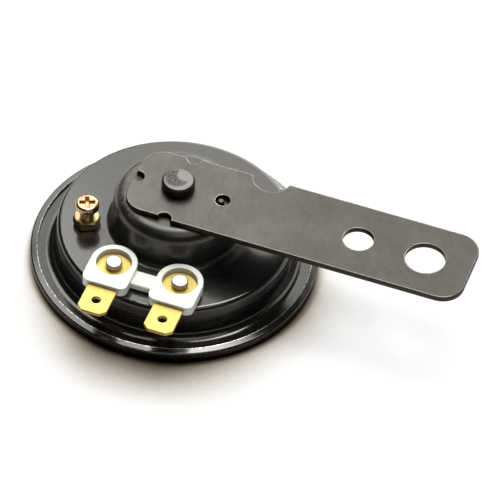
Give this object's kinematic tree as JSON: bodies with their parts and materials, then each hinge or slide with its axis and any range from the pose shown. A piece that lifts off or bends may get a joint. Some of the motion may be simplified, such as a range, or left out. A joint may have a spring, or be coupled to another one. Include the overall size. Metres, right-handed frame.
{
  "type": "car disc horn",
  "caption": "Small electromagnetic disc horn that sounds a vehicle's warning note, with a flat steel mounting bracket and two spade terminals on its back.",
  "frame": {"origin": "on the horn's axis, in the plane of the front ring's flat face, which the horn lies on", "axes": "+Z along the horn's axis, out of its back; +X along the mounting bracket, towards its bolt holes; the terminals point along -Y"},
  "size_m": [0.0949, 0.0629, 0.0228],
  "materials": {
    "black_enamel": "gloss black enamel over drawn steel",
    "bracket_steel": "satin rolled steel with fine grain along the sheet",
    "core_steel": "dark phosphated turned steel",
    "magnet_iron": "soft iron, lightly oiled",
    "spring_steel": "bright cold-rolled spring steel",
    "yellow_zinc": "yellow passivated zinc plate",
    "bright_zinc": "clear zinc plate",
    "terminal_brass": "bright rolled brass",
    "tinned_brass": "tinned brass",
    "winding_copper": "enamelled copper wire",
    "contact_tungsten": "ground tungsten contact",
    "white_nylon": "natural white nylon, slightly translucent",
    "bobbin_nylon": "black glass-filled nylon",
    "red_fibre": "vulcanised fibre",
    "gasket_paper": "oiled gasket paper"
  },
  "bodies": {
    "body": {"rear_housing": "black_enamel", "front_ring": "black_enamel", "front_gasket": "gasket_paper", "rear_gasket": "gasket_paper", "diaphragm": "spring_steel", "pole_core": "core_steel", "yoke_plate": "magnet_iron", "coil_bobbin": "bobbin_nylon", "coil_winding": "winding_copper", "breaker_rivet": "bright_zinc", "breaker_top_insulator": "red_fibre", "breaker_bush": "red_fibre", "breaker_base_insulator": "red_fibre", "fixed_contact": "contact_tungsten", "fixed_contact_plate": "bright_zinc", "lock_nut": "yellow_zinc", "terminal_insulator": "white_nylon", "left_terminal_blade": "terminal_brass", "right_terminal_blade": "terminal_brass", "left_terminal_rivet": "tinned_brass", "right_terminal_rivet": "tinned_brass", "inner_insulator_strip": "red_fibre", "coil_terminal_lead": "winding_copper", "coil_arm_lead": "winding_copper", "plate_terminal_lead": "winding_copper", "bracket": "bracket_steel"},
    "sounder": {"armature": "magnet_iron", "armature_stud": "bright_zinc", "armature_washer": "bright_zinc", "spacer_washer": "bright_zinc", "tone_disc": "black_enamel", "tone_disc_nut": "bright_zinc"},
    "breaker": {"contact_arm": "spring_steel", "arm_button": "red_fibre", "moving_contact": "contact_tungsten"},
    "adjuster": {"adjusting_screw": "yellow_zinc"}
  },
  "joints": [
    {"name": "sounder_stroke", "type": "slide", "parent": "body", "child": "sounder", "axis": [0, 0, 1], "range_m": [0, 0.0004], "stiffness_N_per_m": 2000, "deforming": ["diaphragm"]},
    {"name": "contact_opening", "type": "hinge", "parent": "body", "child": "breaker", "pos_m": [-0.017, 0.00551, 0.00654], "axis": [-0.9239, -0.3827, 0], "range_deg": [0, 1.84]},
    {"name": "adjuster_turn", "type": "hinge", "parent": "body", "child": "adjuster", "pos_m": [-0.01742, -0.00721, 0.0158], "axis": [0, 0, 1], "range_deg": [-180, 180]}
  ],
  "couplings": [
    {"joint": "contact_opening", "follows": "sounder_stroke", "rad_per_m": 80}
  ]
}
